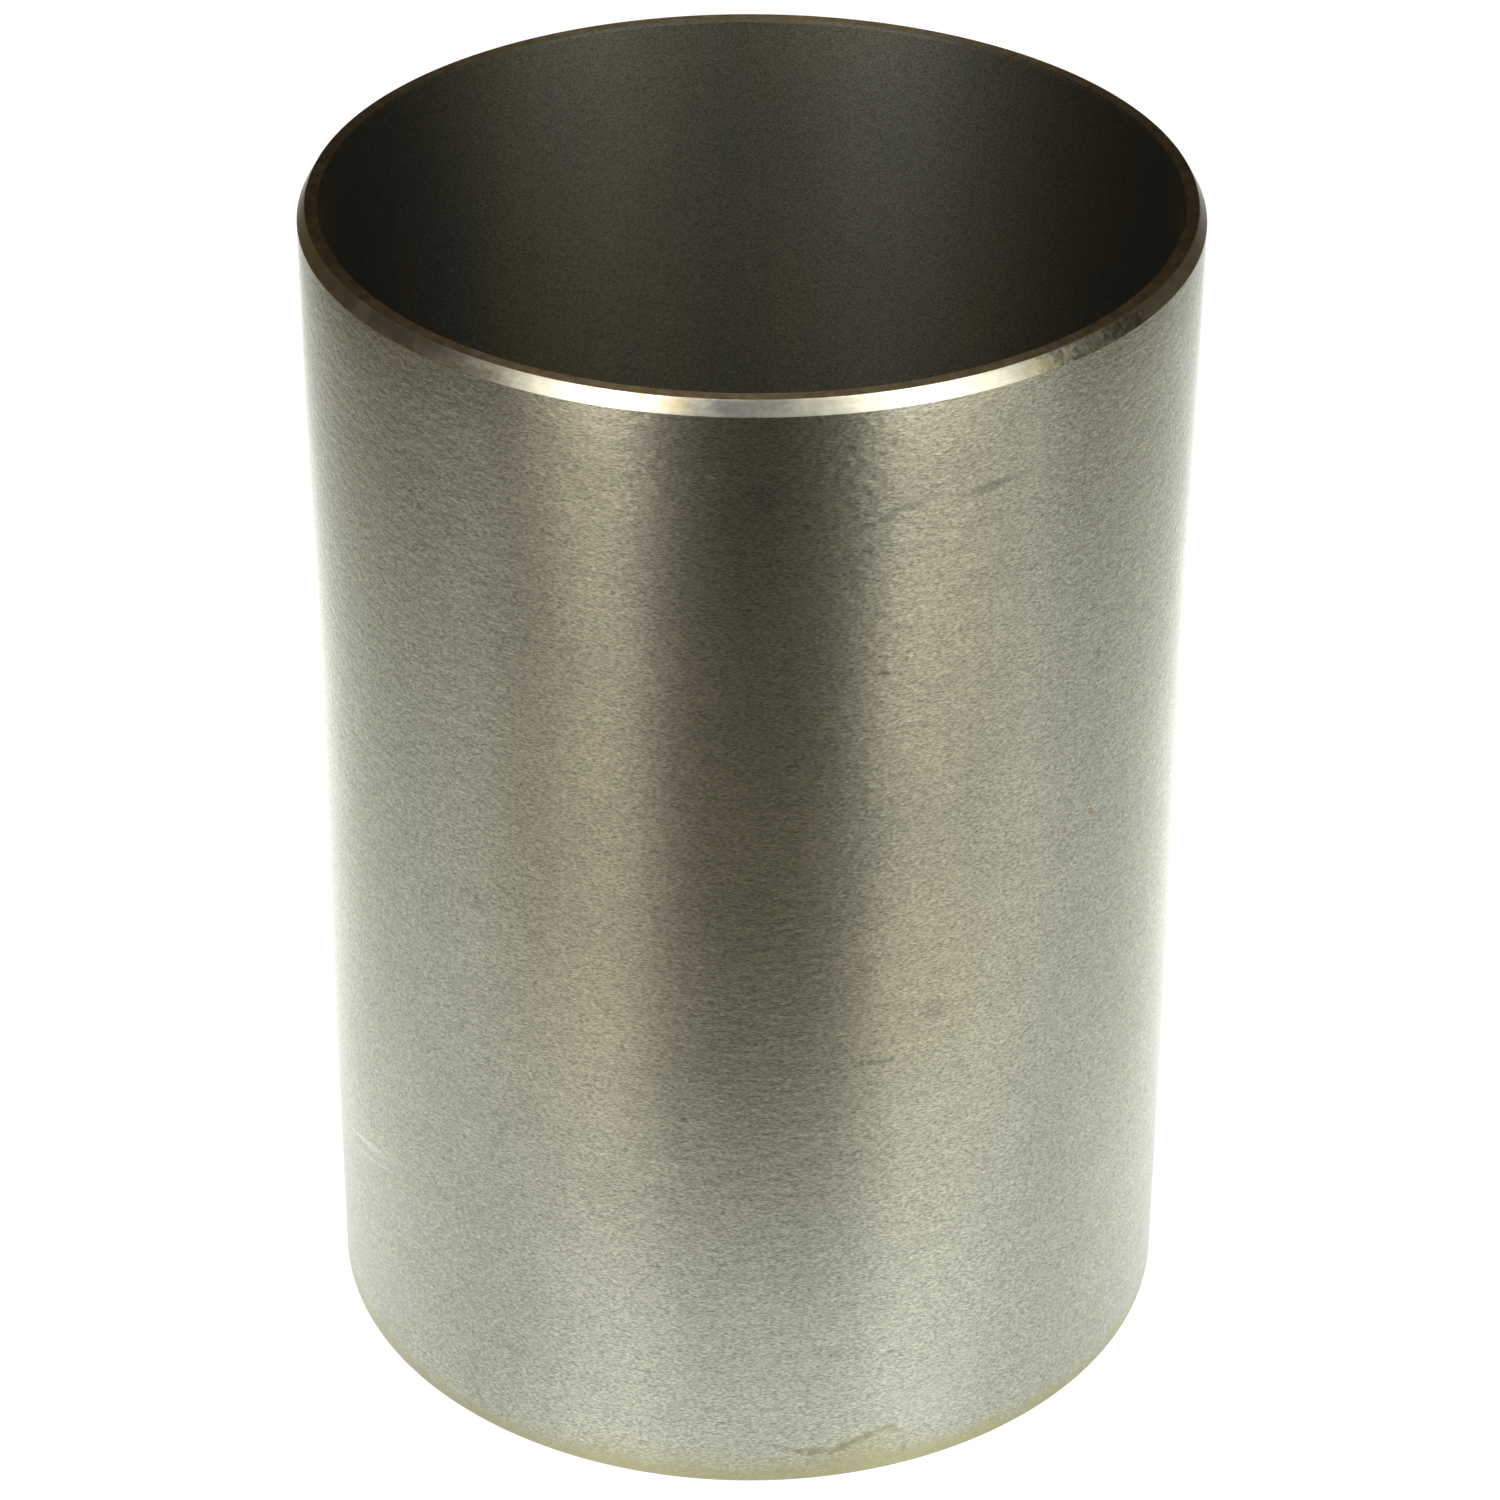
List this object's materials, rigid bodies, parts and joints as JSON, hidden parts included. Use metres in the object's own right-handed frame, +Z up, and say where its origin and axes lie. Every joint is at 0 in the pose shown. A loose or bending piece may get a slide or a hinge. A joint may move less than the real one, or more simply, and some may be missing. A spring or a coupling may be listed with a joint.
{
  "type": "cylinder liner",
  "caption": "Thin turned iron sleeve, open at each end, with a shallow lead-in cone on the outer edge of its upper end; pressed into an engine block as a dry liner.",
  "frame": {"origin": "centre of the lower, square end, on the plane that the liner stands on", "axes": "+Z up along the bore axis, towards the end with the lead-in cone; X and Y are alike"},
  "size_m": [0.094, 0.094, 0.133],
  "materials": {
    "turned_iron": "satin"
  },
  "bodies": {
    "root": {"cylinder_liner": "turned_iron"}
  },
  "joints": []
}
